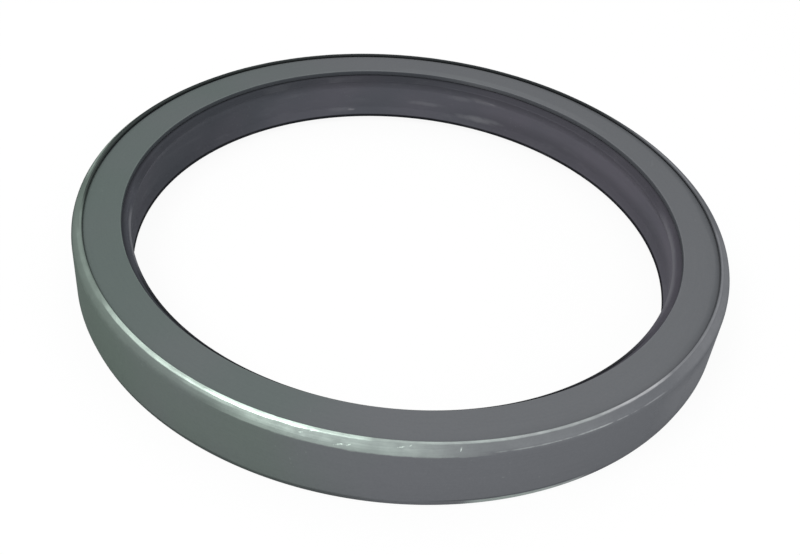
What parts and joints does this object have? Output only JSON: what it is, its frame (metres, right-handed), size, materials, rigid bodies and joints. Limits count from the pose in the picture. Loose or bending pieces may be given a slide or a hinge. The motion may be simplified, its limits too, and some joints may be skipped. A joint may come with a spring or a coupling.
{
  "type": "wheel hub oil seal",
  "caption": "Ring-shaped radial shaft seal with a pressed steel case, a crimped rim, a rubber lip and a garter spring.",
  "frame": {"origin": "centre of the flat base face, on the seal's axis", "axes": "+Z along the seal's axis, from the base on the air side to the crimped rim on the oil side"},
  "size_m": [0.19, 0.19, 0.02],
  "materials": {
    "case_steel": "phosphated grey steel, satin, with a bright worn edge along the crimp",
    "face_steel": "phosphated grey steel, satin",
    "rubber": "black moulded nitrile rubber with a light oily film",
    "spring_steel": "bright drawn spring wire"
  },
  "bodies": {
    "root": {"outer_case": "case_steel", "inner_case": "face_steel", "seal_lip": "rubber", "garter_spring": "spring_steel"}
  },
  "joints": []
}
